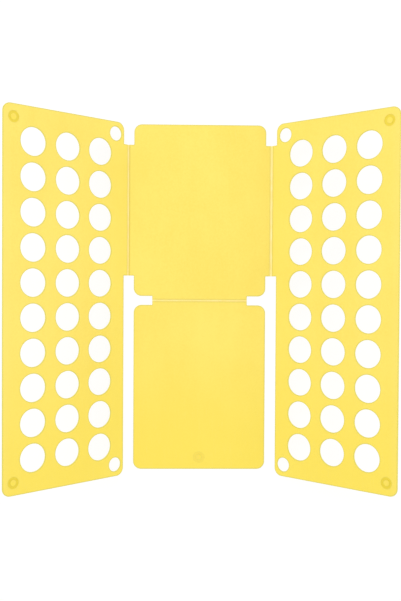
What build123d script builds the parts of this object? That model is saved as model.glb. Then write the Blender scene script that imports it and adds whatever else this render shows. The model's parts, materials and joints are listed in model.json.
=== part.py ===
from build123d import *
from math import atan2, cos, degrees, hypot, radians, sin
import os

# Shirt folding board, lying face up: +Z out of the face, +Y towards the collar end, +X to the right.
# The origin is on the underside of the upper centre panel, midway between the two side hinges.
# Every panel is drawn flat on Z = 0 and then swung about its own hinge to the half-open rest pose.

# Sheet, edges and rest pose
SHEET = 1.8  # panel thickness
CORNER_R = 13.0  # rounded corners of every panel
NOTCH_R = 1.0  # where a hinge tab leaves its panel
EDGE_R = 0.35  # soft moulded edge round every outline and hole
WING_FOLD = 41.0  # both wings stand this many degrees above flat at rest

# Side hinges and wings
HINGE_X = 119.3  # side hinge lines, left and right of the middle
HINGE_INSET = 8.9  # from a hinge line to the straight edge of the panel on either side
SIDE_HINGE_GAP = 1.7  # from a side hinge line to the end of a tab
SIDE_TAB_LOW = 40.0
SIDE_TAB_HIGH = 258.6
WING_REACH = 230.8  # hinge line to the wing's outer edge
WING_LENGTH = 587.0

# Air holes: three columns of ten in each wing
HOLE_R = 21.7
HOLE_FROM_HINGE = 56.5  # first column
HOLE_COLUMN_PITCH = 61.5
HOLE_ROW_PITCH = 53.5
HOLE_COLUMNS = 3
HOLE_ROWS = 10

# Corner holes, which take the feet of the other wing once both are folded in
CORNER_HOLE_R = 11.5
CORNER_HOLE_FROM_HINGE = 25.8
CORNER_HOLE_FROM_END = 19.7

# Centre panels and the hinge between them
CENTRE_WIDTH = 2 * (HINGE_X - HINGE_INSET)
UPPER_TOP = 292.8
UPPER_BOTTOM = 6.1
FOLD_Y = -1.45  # hinge line between the two centre panels
LOWER_TOP = -9.0
LOWER_BOTTOM = -285.0
FOLD_TAB_WIDTH = 158.8
FOLD_HINGE_GAP = 2.0  # from that hinge line to the end of a tab

# Hinge webs: just under the face, because the panels fold face to face, with the deeper groove below
WEB_LOW = 1.1  # height of the web's lower face above the sheet's lower face
WEB_THICKNESS = 0.5

# Feet: a disc under the sheet, with a stud that fills a hole inside a moulded ring
FOOT_R = 10.0
FOOT_HEIGHT = 0.6
FOOT_EDGE_R = 0.25
STUD_HOLE_R = 4.5
STUD_CLEARANCE = 0.05
RING_OUTER_R = 8.6
RING_INNER_R = 5.6
RING_DEPTH = 0.45
FOOT_FROM_HINGE = 2 * HINGE_X - CORNER_HOLE_FROM_HINGE
FOOT_Y = WING_LENGTH / 2 - CORNER_HOLE_FROM_END
LOWER_FOOT_Y = LOWER_BOTTOM + 20.0

# Folded stack: the lower flap lies on the upper panel, then the left wing, then the right wing.
# An axis midway between the flat and the folded position of a face puts the panel there.
LAYER_GAP = 0.15
FLAP_FACE = SHEET + LAYER_GAP
LEFT_FACE = FLAP_FACE + SHEET + FOOT_HEIGHT + LAYER_GAP
RIGHT_FACE = LEFT_FACE + SHEET + LAYER_GAP
FLAP_AXIS_Z = (SHEET + FLAP_FACE) / 2
LEFT_AXIS_Z = (SHEET + LEFT_FACE) / 2
RIGHT_AXIS_Z = (SHEET + RIGHT_FACE) / 2

# The lower flap leans up by the height of its own foot
FLAP_FOLD = degrees(atan2(FOOT_HEIGHT, FOLD_Y - LOWER_FOOT_Y - FOOT_R))

SELECT_MARGIN = 0.01  # how far off a named place an edge may be when it is picked


def ring_seat(x, y):
    """The stud hole through the sheet and the groove round it on the face, to be cut away."""
    hole = Pos(x, y, SHEET / 2) * Cylinder(STUD_HOLE_R, 2 * SHEET)
    groove = Cylinder(RING_OUTER_R, 2 * RING_DEPTH) - Cylinder(RING_INNER_R, 2 * RING_DEPTH)
    return hole + Pos(x, y, SHEET) * groove


def between(edges, axis, low, high):
    """The edges whose middles lie between two places along an axis, both ends included."""
    return edges.filter_by_position(axis, low - SELECT_MARGIN, high + SELECT_MARGIN)


def at(edges, axis, *places):
    """The edges whose middles lie at one of the places along an axis."""
    picked = ShapeList()
    for place in places:
        picked += between(edges, axis, place, place)
    return picked


def rim_edges(solid):
    """Edges of the two flat faces."""
    return at(solid.edges(), Axis.Z, 0, SHEET)


def panel(body, tabs):
    """A sheet with rounded corners and square hinge tabs; each is a (low x, low y, high x, high y) box."""
    low_x, low_y, high_x, high_y = body
    outline = Pos((low_x + high_x) / 2, (low_y + high_y) / 2) * RectangleRounded(
        high_x - low_x, high_y - low_y, CORNER_R
    )
    for x0, y0, x1, y1 in tabs:
        outline += Pos((x0 + x1) / 2, (y0 + y1) / 2) * Rectangle(x1 - x0, y1 - y0)
    return extrude(outline, SHEET)


def right_wing_flat():
    """The right wing, lying flat beside the centre panel."""
    inner = HINGE_X + HINGE_INSET
    hinge_end = HINGE_X + SIDE_HINGE_GAP
    body = (inner, -WING_LENGTH / 2, HINGE_X + WING_REACH, WING_LENGTH / 2)
    tab = (hinge_end, SIDE_TAB_LOW, inner + CORNER_R, SIDE_TAB_HIGH)
    wing = panel(body, [tab])
    notches = at(wing.edges().filter_by(Axis.Z), Axis.X, inner)
    wing = fillet(between(notches, Axis.Y, SIDE_TAB_LOW, SIDE_TAB_HIGH), NOTCH_R)
    for column in range(HOLE_COLUMNS):
        x = HINGE_X + HOLE_FROM_HINGE + column * HOLE_COLUMN_PITCH
        for row in range(HOLE_ROWS):
            y = (row - (HOLE_ROWS - 1) / 2) * HOLE_ROW_PITCH
            wing -= Pos(x, y, SHEET / 2) * Cylinder(HOLE_R, 2 * SHEET)
    for y in (FOOT_Y, -FOOT_Y):
        wing -= Pos(HINGE_X + CORNER_HOLE_FROM_HINGE, y, SHEET / 2) * Cylinder(CORNER_HOLE_R, 2 * SHEET)
    rims = rim_edges(wing)
    wing = fillet(rims - at(rims, Axis.X, hinge_end), EDGE_R)
    for y in (FOOT_Y, -FOOT_Y):
        wing -= ring_seat(HINGE_X + FOOT_FROM_HINGE, y)
    return wing


def upper_centre_panel():
    half = CENTRE_WIDTH / 2
    hinge_end = HINGE_X - SIDE_HINGE_GAP
    fold_end = FOLD_Y + FOLD_HINGE_GAP
    side_tabs = (-hinge_end, SIDE_TAB_LOW, hinge_end, SIDE_TAB_HIGH)
    fold_tab = (-FOLD_TAB_WIDTH / 2, fold_end, FOLD_TAB_WIDTH / 2, UPPER_BOTTOM + CORNER_R)
    upper = panel((-half, UPPER_BOTTOM, half, UPPER_TOP), [side_tabs, fold_tab])
    upright = upper.edges().filter_by(Axis.Z)
    notches = between(at(upright, Axis.X, -half, half), Axis.Y, SIDE_TAB_LOW, SIDE_TAB_HIGH)
    notches += between(at(upright, Axis.Y, UPPER_BOTTOM), Axis.X, -FOLD_TAB_WIDTH / 2, FOLD_TAB_WIDTH / 2)
    upper = fillet(notches, NOTCH_R)
    rims = rim_edges(upper)
    along_hinges = at(rims, Axis.X, -hinge_end, hinge_end) + at(rims, Axis.Y, fold_end)
    return fillet(rims - along_hinges, EDGE_R)


def lower_centre_panel_flat():
    half = CENTRE_WIDTH / 2
    fold_end = FOLD_Y - FOLD_HINGE_GAP
    tab = (-FOLD_TAB_WIDTH / 2, LOWER_TOP - CORNER_R, FOLD_TAB_WIDTH / 2, fold_end)
    lower = panel((-half, LOWER_BOTTOM, half, LOWER_TOP), [tab])
    notches = at(lower.edges().filter_by(Axis.Z), Axis.Y, LOWER_TOP)
    lower = fillet(between(notches, Axis.X, -FOLD_TAB_WIDTH / 2, FOLD_TAB_WIDTH / 2), NOTCH_R)
    rims = rim_edges(lower)
    lower = fillet(rims - at(rims, Axis.Y, fold_end), EDGE_R)
    return lower - ring_seat(0, LOWER_FOOT_Y)


def foot_flat(x, y):
    """A round foot under the sheet, its stud flush with the sheet's face."""
    disc = Pos(0, 0, -FOOT_HEIGHT / 2) * Cylinder(FOOT_R, FOOT_HEIGHT)
    disc = fillet(disc.edges().filter_by(GeomType.CIRCLE).sort_by(Axis.Z)[0], FOOT_EDGE_R)
    stud = Pos(0, 0, SHEET / 2) * Cylinder(STUD_HOLE_R - STUD_CLEARANCE, SHEET)
    return Pos(x, y, 0) * (disc + stud)


def web(gap, axis_z, fold, length):
    """A thin strip bent round its hinge axis, from a fixed tab at +X to a tab folded up at -X."""

    def ends(height):
        radius = hypot(gap, axis_z - height)
        start = atan2(height - axis_z, gap)
        finish = -radians(180 + fold) - start
        middle = (start + finish) / 2
        return [(radius * cos(angle), axis_z + radius * sin(angle)) for angle in (start, middle, finish)]

    lower = ends(WEB_LOW)
    upper = ends(WEB_LOW + WEB_THICKNESS)
    if axis_z - hypot(gap, axis_z - WEB_LOW) < 0:
        # Too close to its axis to bend without reaching below the sheet, so this web lies flat
        rim = Polyline(lower[0], lower[2], upper[2], upper[0], close=True)
    else:
        rim = ThreePointArc(*lower) + Line(lower[2], upper[2]) + ThreePointArc(*reversed(upper))
        rim += Line(upper[0], lower[0])
    profile = Plane.XZ * make_face(rim)
    return Pos(0, length / 2, 0) * extrude(profile, length)


def swing_left(solid):
    return solid.rotate(Axis((-HINGE_X, 0, LEFT_AXIS_Z), (0, 1, 0)), WING_FOLD)


def swing_right(solid):
    return solid.rotate(Axis((HINGE_X, 0, RIGHT_AXIS_Z), (0, -1, 0)), WING_FOLD)


def swing_flap(solid):
    return solid.rotate(Axis((0, FOLD_Y, FLAP_AXIS_Z), (-1, 0, 0)), FLAP_FOLD)


def build():
    wing = right_wing_flat()
    foot_x = HINGE_X + FOOT_FROM_HINGE
    side_length = SIDE_TAB_HIGH - SIDE_TAB_LOW
    side_middle = (SIDE_TAB_HIGH + SIDE_TAB_LOW) / 2
    left_web = web(SIDE_HINGE_GAP, LEFT_AXIS_Z, WING_FOLD, side_length)
    right_web = web(SIDE_HINGE_GAP, RIGHT_AXIS_Z, WING_FOLD, side_length).mirror(Plane.YZ)
    lower_web = web(FOLD_HINGE_GAP, FLAP_AXIS_Z, FLAP_FOLD, FOLD_TAB_WIDTH)
    return {
        "upper_centre_panel": upper_centre_panel(),
        "lower_centre_panel": swing_flap(lower_centre_panel_flat()),
        "left_wing_panel": swing_left(wing.mirror(Plane.YZ)),
        "right_wing_panel": swing_right(wing),
        "left_hinge_web": Pos(-HINGE_X, side_middle, 0) * left_web,
        "right_hinge_web": Pos(HINGE_X, side_middle, 0) * right_web,
        "lower_hinge_web": Pos(0, FOLD_Y, 0) * Rot(0, 0, 90) * lower_web,
        "left_top_foot": swing_left(foot_flat(-foot_x, FOOT_Y)),
        "left_bottom_foot": swing_left(foot_flat(-foot_x, -FOOT_Y)),
        "right_top_foot": swing_right(foot_flat(foot_x, FOOT_Y)),
        "right_bottom_foot": swing_right(foot_flat(foot_x, -FOOT_Y)),
        "lower_foot": swing_flap(foot_flat(0, LOWER_FOOT_Y)),
    }


os.makedirs("parts", exist_ok=True)
for name, solid in build().items():
    export_step(solid, f"parts/{name}.step")
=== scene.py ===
"""Looks for a shirt folding board: moulded polypropylene panels joined by thin flexible hinge webs.

Everything is in metres, in the row frame: +Z out of the folding face, +Y towards the collar end.
The panels and feet keep their CAD meshes. The webs are drawn here, bent to the angle at which their moving
parts rest.
"""

import json
import math

import bpy
from mathutils import Matrix, Vector


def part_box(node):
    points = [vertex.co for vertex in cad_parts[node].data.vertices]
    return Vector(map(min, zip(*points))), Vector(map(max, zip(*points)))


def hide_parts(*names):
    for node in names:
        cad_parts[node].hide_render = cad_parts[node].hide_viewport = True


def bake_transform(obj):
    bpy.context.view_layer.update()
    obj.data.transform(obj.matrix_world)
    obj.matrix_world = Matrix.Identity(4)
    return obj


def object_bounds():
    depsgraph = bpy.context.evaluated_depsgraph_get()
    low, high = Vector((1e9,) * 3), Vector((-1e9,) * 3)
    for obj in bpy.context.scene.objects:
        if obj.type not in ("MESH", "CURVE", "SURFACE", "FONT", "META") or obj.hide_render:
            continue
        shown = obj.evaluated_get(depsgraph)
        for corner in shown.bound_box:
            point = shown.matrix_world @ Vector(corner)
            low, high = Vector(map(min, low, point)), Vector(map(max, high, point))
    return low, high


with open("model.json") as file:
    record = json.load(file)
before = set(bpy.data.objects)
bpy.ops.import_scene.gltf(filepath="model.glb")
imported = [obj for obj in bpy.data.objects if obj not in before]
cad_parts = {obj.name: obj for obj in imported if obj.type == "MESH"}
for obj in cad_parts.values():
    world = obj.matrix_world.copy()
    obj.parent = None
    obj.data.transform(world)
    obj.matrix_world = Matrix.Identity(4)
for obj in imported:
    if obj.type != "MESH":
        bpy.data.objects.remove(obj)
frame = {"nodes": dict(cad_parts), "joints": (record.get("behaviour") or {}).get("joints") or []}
cad_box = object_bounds()

MM = 0.001
X, Y = 0, 1  # axis numbers
JOINTS = {joint["name"]: joint for joint in frame["joints"]}

# Plastic colours, linear RGB
YELLOW = (0.855, 0.688, 0.118)
YELLOW_DEEP = (0.820, 0.634, 0.085)
# painted shade towards the hem end
YELLOW_HEM_SHADE = (0.84, 0.660, 0.066)
# painted light near the wings' hinges
YELLOW_HINGE_LIGHT = (0.89, 0.740, 0.112)
YELLOW_PALE = (0.83, 0.670, 0.138)
# painted shade on the rims
YELLOW_RIM_SHADE = (0.60, 0.545, 0.092)
# painted shade in the grooves round the feet
WING_RING_SHADE = (0.74, 0.578, 0.028)
CENTRE_RING_SHADE = (0.815, 0.640, 0.072)
# partly stress whitening, partly painted light that offsets the web's shade
WEB_LIT_YELLOW = (0.90, 0.735, 0.21)
WEB_WHITENED_AND_LIT = (0.94, 0.795, 0.36)
# painted shade in the webs' grooves and on their undersides
WEB_GROOVE_SHADE = (0.71, 0.575, 0.082)
FOOT_YELLOW = (0.83, 0.660, 0.055)
PLASTIC_IOR = 1.49

# Noise scales of the panels' plastic, in features per metre; a triple is along X, Y and Z
CLOUD_SCALE = 7.0
FLOW_SCALES = (26.0, 5.0, 26.0)  # marks that the melt leaves along the moulding
MOTTLE_SCALE = 320.0
SCRATCH_SCALES = (1400.0, 45.0, 1400.0)
SCUFF_SCALE = 160.0
WAVE_SCALE = 11.0
GRAIN_SCALE = 1600.0

# How much each of them shows in the panels' colour
CLOUD_SHARE = 0.4
FLOW_SHARE = 0.25
MOTTLE_SHARE = 0.35
SCRATCH_SHARE = 0.4
SCUFF_SHARE = 0.5

# Relief of the panels' surface
WAVE_HEIGHT = 1.2 * MM
GRAIN_HEIGHT = 0.10 * MM
SCRATCH_DEPTH = 0.04 * MM

# Painted shade: the mouldings are painted deeper in colour towards the hem end, where less light and sheen
# fall, between these places along Y
HEM_SHADE_FADE = (cad_box[0].y, 0.1 * cad_box[0].y)
HEM_SHADE_SHARE = 0.85

# Painted light: a wing is painted brighter near its hinge; it is also paler along its outer edge
HINGE_LIGHT_SHARE = 0.35
HINGE_LIGHT_PART = 0.4  # part of the wing's width that it fades out over
BAND_SHARE = 0.3
BAND_WIDTH = 16 * MM
BAND_FULL = 5 * MM  # width of its palest part

# Painted shade: a deeper tone painted on the rims, where their walls fall into shade; and pale scuffs on
# their very edge
RIM_SHADE_WIDTH = 3.6 * MM
RIM_SHADE_SHARPNESS = 0.08
SCUFF_WIDTH = 0.4 * MM
TAB_RIM_SHADE = 0.45  # how much of the rim tone is left beside a web
TAB_RIM_SHADE_FADE = (4 * MM, 7 * MM)  # distances from the hinge line

# Painted shade in the groove moulded round each foot, as distances from the foot's centre
RING_INNER = 5.0 * MM
RING_OUTER = 9.1 * MM
RING_SOFT = 0.6 * MM  # how gradually the tone starts and stops

# Web section: a raised bead between two thin grooves, one beside each tab. Heights are above the
# sheet's lower face, as they are before the web is bent.
WEB_STATIONS = 48  # across the web, enough for a smooth arc when folded shut
WEB_ROWS = 24  # along the hinge
BEAD_WIDTH = 1.4 * MM
BEAD_SHOULDER = 0.25 * MM
BEAD_CROWN = 0.05 * MM
BEAD_TOP = 1.58 * MM
GROOVE_TOP = 1.2 * MM
WEB_UNDERSIDE = 0.6 * MM
WEB_FILLET = 0.35 * MM  # radius where the underside meets a tab
SHARP_ANGLE = math.radians(50)
GROOVE_SHADE_ATTRIBUTE = "groove"
# How much painted shade each web shows in its grooves, beside the root tab and beside the moving tab
GROOVE_SHADES = {
    "left_hinge_web": (1.0, 0.0),
    "right_hinge_web": (0.0, 0.85),
    "lower_hinge_web": (0.6, 0.65),
}
# painted shade on the web's underside
UNDERSIDE_SHADE = 0.3

# Light table
FLOOR_SIZE = 40.0
FLOOR_GAP = 0.2 * MM
FLOOR_WHITE = 0.12
FLOOR_CLOUDING = 0.01
FLOOR_GLOW = 0.88

# Studio light: a white surround, and soft boxes as (place, size, energy)
SURROUND_STRENGTH = 0.97
SOFT_BOXES = {
    "overhead_box": ((0.0, 0.35, 2.2), (1.4, 1.8), 3.0),
    "key_box": ((-1.1, 1.0, 1.7), (0.6, 0.6), 9.0),
    "left_box": ((-2.4, 0.2, 1.3), (1.2, 1.6), 4.0),
    "right_box": ((2.4, 0.2, 1.3), (1.2, 1.6), 10.5),
}

CAMERA_PLACE = Vector((-0.0269, 0.0215, 1.3096))
CAMERA_AIM = Vector((0.0016, -0.0012, 0.0))
CAMERA_ROLL = math.radians(0.32)
CAMERA_LENS = 46.64
CAMERA_SENSOR = 36.0
CAMERA_CLIP = (0.05, 100.0)


# ---------------------------------------------------------------- node helpers


def feed(tree, socket, value):
    """Links another node's output to a socket, or sets a plain value on it."""
    if isinstance(value, bpy.types.NodeSocket):
        tree.links.new(value, socket)
    else:
        socket.default_value = value


def add_node(tree, kind, inputs=None, **settings):
    """A shader node with its settings; each input is a plain value or another node's output."""
    node = tree.nodes.new(kind)
    for name, value in settings.items():
        setattr(node, name, value)
    for name, value in (inputs or {}).items():
        feed(tree, node.inputs[name], value)
    return node


def new_material(name):
    """An empty node material with its Principled shader wired up."""
    material = bpy.data.materials.new(name)
    material.use_nodes = True
    tree = material.node_tree
    tree.nodes.clear()
    shader = add_node(tree, "ShaderNodeBsdfPrincipled")
    output = add_node(tree, "ShaderNodeOutputMaterial")
    tree.links.new(shader.outputs["BSDF"], output.inputs["Surface"])
    return material, tree, shader


def rgba(colour):
    return (*colour, 1.0)


def object_place(tree):
    return add_node(tree, "ShaderNodeTexCoord").outputs["Object"]


def noise(tree, place, scale, detail=2.0, roughness=0.5):
    """A noise value from 0 to 1, with scale in features per metre."""
    inputs = {"Vector": place, "Scale": scale, "Detail": detail, "Roughness": roughness}
    return add_node(tree, "ShaderNodeTexNoise", inputs).outputs["Fac"]


def stretched_noise(tree, place, scales, **settings):
    """Noise with its own scale along each of X, Y and Z, for streaks."""
    stretched = add_node(tree, "ShaderNodeMapping", {"Vector": place, "Scale": scales})
    return noise(tree, stretched.outputs["Vector"], 1.0, **settings)


def remap(tree, value, low, high, to_low=0.0, to_high=1.0):
    """value from low..high moved to to_low..to_high with soft ends, and held there outside."""
    inputs = {"Value": value, "From Min": low, "From Max": high, "To Min": to_low, "To Max": to_high}
    return add_node(tree, "ShaderNodeMapRange", inputs, interpolation_type="SMOOTHSTEP").outputs["Result"]


def maths(tree, operation, first, second):
    node = add_node(tree, "ShaderNodeMath", operation=operation)
    feed(tree, node.inputs[0], first)
    feed(tree, node.inputs[1], second)
    return node.outputs[0]


def vector_maths(tree, operation, first, second=None, result="Vector"):
    node = add_node(tree, "ShaderNodeVectorMath", operation=operation)
    feed(tree, node.inputs[0], first)
    if second is not None:
        feed(tree, node.inputs[1], second)
    return node.outputs[result]


def mix(tree, share, first, second):
    """Colour mix of first and second by share; each colour is a tuple or an output."""
    node = add_node(tree, "ShaderNodeMix", data_type="RGBA")
    colours = [socket for socket in node.inputs if socket.type == "RGBA"]
    feed(tree, node.inputs["Factor"], share)
    feed(tree, colours[0], first)
    feed(tree, colours[1], second)
    return [socket for socket in node.outputs if socket.type == "RGBA"][0]


def bump(tree, height, distance, strength=1.0, normal=None):
    """Surface relief; a negative distance cuts in where height is high."""
    inputs = {"Height": height, "Distance": distance, "Strength": strength}
    if normal is not None:
        inputs["Normal"] = normal
    return add_node(tree, "ShaderNodeBump", inputs).outputs["Normal"]


def edge_mask(tree, radius, sharpness=0.25):
    """1 on rims and sharp corners, fading to 0 on a flat face a radius away from them."""
    softened = add_node(tree, "ShaderNodeBevel", {"Radius": radius}, samples=8).outputs["Normal"]
    true = add_node(tree, "ShaderNodeNewGeometry").outputs["Normal"]
    likeness = vector_maths(tree, "DOT_PRODUCT", softened, true, result="Value")
    return remap(tree, likeness, 1.0 - sharpness, 0.995, 1.0, 0.0)


# ---------------------------------------------------------------- materials


def ring_shade_mask(tree, place, centre):
    """Where painted shade darkens the groove moulded round a foot, whose centre is given: 1 in the groove, 0
    inside and outside it.
    """
    away = vector_maths(tree, "DISTANCE", place, centre, result="Value")
    inner = remap(tree, away, RING_INNER - RING_SOFT, RING_INNER + RING_SOFT)
    outer = remap(tree, away, RING_OUTER - RING_SOFT, RING_OUTER + RING_SOFT, 1.0, 0.0)
    return maths(tree, "MULTIPLY", inner, outer)


def rim_shade_mask(tree, place):
    """Where painted shade deepens the rims' tone: less beside the webs, where two tabs meet."""
    rim = edge_mask(tree, RIM_SHADE_WIDTH, RIM_SHADE_SHARPNESS)
    for joint in JOINTS.values():
        offset = vector_maths(tree, "SUBTRACT", place, joint["pos_m"])
        across = vector_maths(tree, "CROSS_PRODUCT", offset, joint["axis"])
        from_axis = vector_maths(tree, "LENGTH", across, result="Value")
        rim = maths(tree, "MULTIPLY", rim, remap(tree, from_axis, *TAB_RIM_SHADE_FADE, TAB_RIM_SHADE, 1.0))
    return rim


def wing_tones(tree, place, colour, hinge, outward, reach):
    """Paints light onto a wing near its hinge, brightening its colour there, and makes it paler along its
    outer edge.

    hinge is a point on the hinge line, outward points from there to the outer edge, and reach is the
    distance between them.
    """
    offset = vector_maths(tree, "SUBTRACT", place, hinge)
    along = vector_maths(tree, "DOT_PRODUCT", offset, outward, result="Value")
    # painted light: brighter colour near the hinge
    hinge_light = remap(tree, along, 0.0, HINGE_LIGHT_PART * reach, HINGE_LIGHT_SHARE, 0.0)
    colour = mix(tree, hinge_light, colour, rgba(YELLOW_HINGE_LIGHT))
    band = remap(tree, along, reach - BAND_WIDTH, reach - BAND_FULL, 0.0, BAND_SHARE)
    return mix(tree, band, colour, rgba(YELLOW_PALE))


def panel_material(name, ring_centres, ring_shade_colour, wing=None):
    """Satin moulded polypropylene: faint flow marks, mottling, fine grain, scratches, scuffed rims.

    Painted shade deepens its colour towards the hem end, on the rims and in the grooves moulded round
    the feet. wing is what wing_tones, which paints light near a wing's hinge, needs to know about a
    wing: its hinge point, outward direction and reach.
    """
    material, tree, shader = new_material(name)
    place = object_place(tree)

    cloud = noise(tree, place, CLOUD_SCALE, detail=3.0)
    flow = stretched_noise(tree, place, FLOW_SCALES, detail=4.0, roughness=0.6)
    mottle = noise(tree, place, MOTTLE_SCALE, detail=4.0, roughness=0.6)
    scratches = remap(tree, stretched_noise(tree, place, SCRATCH_SCALES), 0.60, 0.72)
    scuffed_parts = remap(tree, noise(tree, place, SCUFF_SCALE, detail=3.0), 0.5, 0.7)
    scuffs = maths(tree, "MULTIPLY", edge_mask(tree, SCUFF_WIDTH), scuffed_parts)

    tone = maths(tree, "MULTIPLY", cloud, CLOUD_SHARE)
    tone = maths(tree, "ADD", tone, maths(tree, "MULTIPLY", flow, FLOW_SHARE))
    tone = maths(tree, "ADD", tone, maths(tree, "MULTIPLY", mottle, MOTTLE_SHARE))
    colour = mix(tree, remap(tree, tone, 0.34, 0.66), rgba(YELLOW_DEEP), rgba(YELLOW))
    along_y = add_node(tree, "ShaderNodeSeparateXYZ", {"Vector": place}).outputs["Y"]
    # painted shade: deeper colour towards the hem end
    colour = mix(tree, remap(tree, along_y, *HEM_SHADE_FADE, HEM_SHADE_SHARE, 0.0), colour, rgba(YELLOW_HEM_SHADE))
    if wing is not None:
        colour = wing_tones(tree, place, colour, *wing)
    colour = mix(tree, maths(tree, "MULTIPLY", scratches, SCRATCH_SHARE), colour, rgba(YELLOW_PALE))
    # painted shade on the rims
    colour = mix(tree, rim_shade_mask(tree, place), colour, rgba(YELLOW_RIM_SHADE))
    # painted shade in the grooves round the feet
    for centre in ring_centres:
        colour = mix(tree, ring_shade_mask(tree, place, centre), colour, rgba(ring_shade_colour))
    colour = mix(tree, maths(tree, "MULTIPLY", scuffs, SCUFF_SHARE), colour, rgba(YELLOW_PALE))
    tree.links.new(colour, shader.inputs["Base Color"])

    rough = remap(tree, cloud, 0.3, 0.7, 0.33, 0.39)
    rough = maths(tree, "ADD", rough, remap(tree, mottle, 0.3, 0.7, 0.0, 0.06))
    rough = maths(tree, "ADD", rough, maths(tree, "MULTIPLY", scratches, 0.10))
    rough = maths(tree, "ADD", rough, maths(tree, "MULTIPLY", scuffs, 0.15))
    tree.links.new(rough, shader.inputs["Roughness"])

    waves = noise(tree, place, WAVE_SCALE, detail=1.0)
    grain = noise(tree, place, GRAIN_SCALE, detail=3.0, roughness=0.6)
    wavy = bump(tree, waves, WAVE_HEIGHT, 0.25)
    grained = bump(tree, grain, GRAIN_HEIGHT, 1.0, normal=wavy)
    scratched = bump(tree, scratches, -SCRATCH_DEPTH, 0.6, normal=grained)
    tree.links.new(scratched, shader.inputs["Normal"])
    shader.inputs["IOR"].default_value = PLASTIC_IOR
    return material


def web_material():
    """Thin flexed polypropylene: glossier, whitened in streaks along the fold, and painted paler as painted
    light against the shade of its groove; painted shade darkens its grooves and underside.
    """
    material, tree, shader = new_material("hinge_web_polypropylene")
    place = object_place(tree)
    streaks = stretched_noise(tree, place, (1500.0, 30.0, 1500.0), detail=3.0, roughness=0.6)
    blotches = noise(tree, place, 60.0, detail=2.0)
    stress = maths(tree, "MULTIPLY", streaks, 0.65)
    stress = maths(tree, "ADD", stress, maths(tree, "MULTIPLY", blotches, 0.35))
    # stress whitening, painted paler as painted light against the web's shade
    colour = mix(tree, remap(tree, stress, 0.38, 0.66), rgba(WEB_LIT_YELLOW), rgba(WEB_WHITENED_AND_LIT))
    # painted shade in the grooves and on the underside
    groove = add_node(tree, "ShaderNodeAttribute", attribute_name=GROOVE_SHADE_ATTRIBUTE).outputs["Fac"]
    colour = mix(tree, groove, colour, rgba(WEB_GROOVE_SHADE))
    tree.links.new(colour, shader.inputs["Base Color"])
    tree.links.new(remap(tree, streaks, 0.3, 0.7, 0.30, 0.44), shader.inputs["Roughness"])
    tree.links.new(bump(tree, streaks, 0.05 * MM, 0.6), shader.inputs["Normal"])
    shader.inputs["IOR"].default_value = PLASTIC_IOR
    return material


def foot_material():
    """Soft yellow elastomer: matt, lightly eroded mould finish, a little dust on the rim."""
    material, tree, shader = new_material("foot_elastomer")
    place = object_place(tree)
    cloud = noise(tree, place, 140.0, detail=3.0)
    colour = mix(tree, remap(tree, cloud, 0.35, 0.65), rgba(FOOT_YELLOW), rgba(YELLOW_DEEP))
    dust = maths(tree, "MULTIPLY", edge_mask(tree, SCUFF_WIDTH), 0.35)
    colour = mix(tree, dust, colour, rgba(YELLOW_PALE))
    tree.links.new(colour, shader.inputs["Base Color"])
    tree.links.new(remap(tree, cloud, 0.3, 0.7, 0.55, 0.68), shader.inputs["Roughness"])
    grain = noise(tree, place, 2200.0, detail=2.0)
    tree.links.new(bump(tree, grain, 0.04 * MM, 0.6), shader.inputs["Normal"])
    return material


# ---------------------------------------------------------------- CAD nodes


def raised_angle(joint):
    """How far a moving part is raised at rest: its travel stops where it is folded flat, at 180 degrees."""
    return math.radians(180 - joint["range_deg"][1])


def box_middle(node_name):
    low_corner, high_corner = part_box(node_name)
    return (Vector(low_corner) + Vector(high_corner)) / 2


def dress(node_name, material):
    """Gives a CAD node a new material and leaves its mesh alone."""
    node = frame["nodes"][node_name]
    for material_slot in node.material_slots:
        material_slot.material = material


def dress_centre(elastomer):
    material = panel_material("panel_polypropylene", [box_middle("lower_foot")], CENTRE_RING_SHADE)
    for node_name in ("upper_centre_panel", "lower_centre_panel"):
        dress(node_name, material)
    dress("lower_foot", elastomer)


def dress_wing(side, sign, elastomer):
    """One wing and its feet; sign is -1 on the left and 1 on the right."""
    joint = JOINTS[f"{side}_wing_fold"]
    angle = raised_angle(joint)
    hinge = Vector(joint["pos_m"])
    outward = Vector((sign * math.cos(angle), 0, math.sin(angle)))
    panel = frame["nodes"][f"{side}_wing_panel"].data
    reach = max((vertex.co - hinge).dot(outward) for vertex in panel.vertices)
    feet = [f"{side}_{end}_foot" for end in ("top", "bottom")]
    rings = [box_middle(foot) for foot in feet]
    wing = (hinge, outward, reach)
    dress(f"{side}_wing_panel", panel_material(f"{side}_wing_polypropylene", rings, WING_RING_SHADE, wing))
    for foot in feet:
        dress(foot, elastomer)


def dress_cad_nodes():
    elastomer = foot_material()
    dress_centre(elastomer)
    dress_wing("left", -1, elastomer)
    dress_wing("right", 1, elastomer)


# ---------------------------------------------------------------- hinge webs


def soft_step(value):
    value = min(1.0, max(0.0, value))
    return value * value * (3 - 2 * value)


def bead_share(across):
    """1 on the bead, 0 in the grooves beside it."""
    return soft_step((BEAD_WIDTH / 2 - abs(across)) / BEAD_SHOULDER + 0.5)


def web_heights(across, gap):
    """Heights of the unbent web's underside and top, at a distance from the hinge line."""
    bead = bead_share(across)
    crown = BEAD_CROWN * max(0.0, 1 - (2 * across / BEAD_WIDTH) ** 2)
    top = GROOVE_TOP + bead * (BEAD_TOP - GROOVE_TOP) + crown
    into_fillet = max(0.0, WEB_FILLET - (gap - abs(across)))
    underside = WEB_UNDERSIDE - (WEB_FILLET - math.sqrt(WEB_FILLET**2 - into_fillet**2))
    return underside, top


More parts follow.
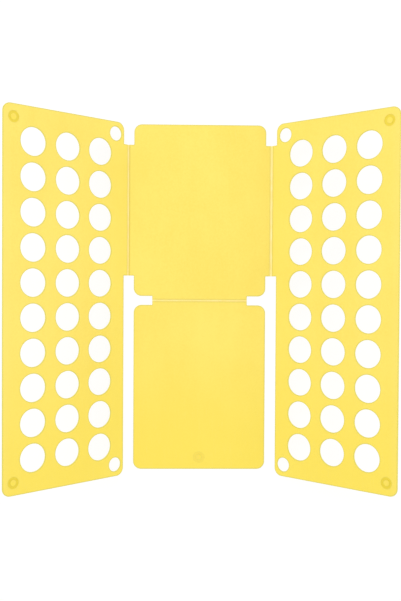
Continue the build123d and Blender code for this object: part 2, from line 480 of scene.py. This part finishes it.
def web_section(gap, axis_height, raised, flat):
    """The web's lower and upper outline, from the root tab to the moving tab, as (across, up) points.

    Across is measured from the hinge line towards the root. Both ends lie on the tabs' end faces, and
    a point between them turns about the hinge axis, or lies on the straight line if the web is flat.
    """

    def point(share, height):
        root = (gap, height - axis_height)
        start = math.atan2(root[1], root[0])
        finish = -math.pi - raised - start
        radius = math.hypot(*root)
        if flat:
            end = (radius * math.cos(finish), radius * math.sin(finish))
            return (
                root[0] + share * (end[0] - root[0]),
                axis_height + root[1] + share * (end[1] - root[1]),
            )
        angle = start + share * (finish - start)
        return radius * math.cos(angle), axis_height + radius * math.sin(angle)

    lower, upper = [], []
    for station in range(WEB_STATIONS + 1):
        share = station / WEB_STATIONS
        underside, top = web_heights(gap * (1 - 2 * share), gap)
        lower.append(point(share, underside))
        upper.append(point(share, top))
    return lower, upper


def web_mesh(name, lower, upper, place):
    """A strip with that section; place(across, up, share along the hinge) gives a point in the row frame."""
    outline = lower + upper[::-1]
    points = [
        place(across, up, row / WEB_ROWS) for row in range(WEB_ROWS + 1) for across, up in outline
    ]
    count = len(outline)
    faces = []
    for row in range(WEB_ROWS):
        for index in range(count):
            following = (index + 1) % count
            base = row * count
            faces.append((base + index, base + following, base + count + following, base + count + index))
    last = WEB_ROWS * count
    for index in range(WEB_STATIONS):
        opposite = count - 1 - index
        cap = (index, index + 1, opposite - 1, opposite)
        faces.append(cap[::-1])
        faces.append(tuple(last + corner for corner in cap))
    mesh = bpy.data.meshes.new(name)
    mesh.from_pydata(points, [], faces)
    mesh.update()
    mesh.polygons.foreach_set("use_smooth", [True] * len(mesh.polygons))
    mesh.set_sharp_from_angle(angle=SHARP_ANGLE)
    return mesh


def mark_groove_shade(mesh, gap, root_shade, moving_shade):
    """Stores on each point how much painted shade it shows, in the grooves and on the underside, for the
    web's colour.
    """
    middle = [gap * (1 - 2 * station / WEB_STATIONS) for station in range(WEB_STATIONS + 1)]
    outline = [UNDERSIDE_SHADE] * len(middle)
    for across in reversed(middle):
        tone = root_shade if across > 0 else moving_shade
        outline.append(tone * (1 - bead_share(across)))
    attribute = mesh.attributes.new(GROOVE_SHADE_ATTRIBUTE, "FLOAT", "POINT")
    attribute.data.foreach_set("value", outline * (WEB_ROWS + 1))


def outward_faces(mesh):
    """Turns every face outwards, whichever way the section was mirrored."""
    centre = sum((polygon.center for polygon in mesh.polygons), Vector()) / len(mesh.polygons)
    cap = mesh.polygons[-1]
    if (cap.center - centre).dot(cap.normal) < 0:
        mesh.flip_normals()


def hinge_web(name, joint_name, across_axis, along_axis, towards_root, gap, material, flat):
    """One web between the centre body and a moving body, replacing the CAD web."""
    joint = JOINTS[joint_name]
    hinge = Vector(joint["pos_m"])
    low_corner, high_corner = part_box(name)
    start, finish = low_corner[along_axis], high_corner[along_axis]
    lower, upper = web_section(gap, hinge.z, raised_angle(joint), flat)

    def place(across, up, share):
        point = Vector((0.0, 0.0, up))
        point[across_axis] = hinge[across_axis] + towards_root * across
        point[along_axis] = start + share * (finish - start)
        return point

    mesh = web_mesh(f"{name}_strip", lower, upper, place)
    outward_faces(mesh)
    mark_groove_shade(mesh, gap, *GROOVE_SHADES[name])
    mesh.materials.append(material)
    piece = bpy.data.objects.new(f"{name}_strip", mesh)
    bpy.context.scene.collection.objects.link(piece)
    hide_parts(name)
    ends = [
        place((lower[index][0] + upper[index][0]) / 2, (lower[index][1] + upper[index][1]) / 2, 0.5)
        for index in (0, -1)
    ]
    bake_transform(piece)


def build_webs():
    """The three webs; each spans the same gap on both sides of its hinge line."""
    material = web_material()
    root_low, root_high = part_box("upper_centre_panel")
    side_gap = JOINTS["right_wing_fold"]["pos_m"][0] - root_high.x
    fold_gap = root_low.y - JOINTS["lower_flap_fold"]["pos_m"][1]
    hinge_web("left_hinge_web", "left_wing_fold", X, Y, 1, side_gap, material, False)
    hinge_web("right_hinge_web", "right_wing_fold", X, Y, -1, side_gap, material, False)
    hinge_web("lower_hinge_web", "lower_flap_fold", Y, X, 1, fold_gap, material, True)


# ---------------------------------------------------------------- studio


def build_floor():
    """A white light table under the board."""
    mesh = bpy.data.meshes.new("floor")
    half = FLOOR_SIZE / 2
    corners = [(-half, -half), (half, -half), (half, half), (-half, half)]
    mesh.from_pydata([(x, y, cad_box[0].z - FLOOR_GAP) for x, y in corners], [], [(0, 1, 2, 3)])
    floor = bpy.data.objects.new("floor", mesh)
    bpy.context.scene.collection.objects.link(floor)
    material, tree, shader = new_material("light_table")
    cloud = noise(tree, object_place(tree), 3.0)
    shade = remap(tree, cloud, 0.3, 0.7, FLOOR_WHITE - FLOOR_CLOUDING, FLOOR_WHITE)
    tree.links.new(shade, shader.inputs["Base Color"])
    shader.inputs["Roughness"].default_value = 0.8
    shader.inputs["Specular IOR Level"].default_value = 0.1
    shader.inputs["Emission Color"].default_value = (1, 1, 1, 1)
    shader.inputs["Emission Strength"].default_value = FLOOR_GLOW
    mesh.materials.append(material)


def soft_box(name, place, size, energy):
    """A rectangular area light turned towards the middle of the board."""
    light = bpy.data.lights.new(name, "AREA")
    light.shape = "RECTANGLE"
    light.size, light.size_y = size
    light.energy = energy
    lamp = bpy.data.objects.new(name, light)
    lamp.location = place
    lamp.rotation_euler = Vector(place).to_track_quat("Z", "Y").to_euler()
    bpy.context.scene.collection.objects.link(lamp)


def build_light():
    """An even white surround, with soft boxes overhead and at both sides."""
    world = bpy.data.worlds.new("studio")
    bpy.context.scene.world = world
    world.use_nodes = True
    background = world.node_tree.nodes["Background"]
    background.inputs["Color"].default_value = (1.0, 1.0, 1.0, 1.0)
    background.inputs["Strength"].default_value = SURROUND_STRENGTH
    for name, (place, size, energy) in SOFT_BOXES.items():
        soft_box(name, place, size, energy)


def build_camera():
    """Looks straight down at the open board, as from a tripod over the table."""
    data = bpy.data.cameras.new("camera")
    data.lens = CAMERA_LENS
    data.sensor_width = CAMERA_SENSOR
    data.clip_start, data.clip_end = CAMERA_CLIP
    camera = bpy.data.objects.new("camera", data)
    back = (CAMERA_PLACE - CAMERA_AIM).normalized()
    right = Vector((0, 1, 0)).cross(back).normalized()
    upright = Matrix((right, back.cross(right), back)).transposed()
    turned = Matrix.Rotation(CAMERA_ROLL, 3, back) @ upright
    camera.matrix_world = Matrix.Translation(CAMERA_PLACE) @ turned.to_4x4()
    bpy.context.scene.collection.objects.link(camera)
    bpy.context.scene.camera = camera


dress_cad_nodes()
build_webs()
build_floor()
build_light()
build_camera()
bpy.context.scene.view_settings.view_transform = "Standard"
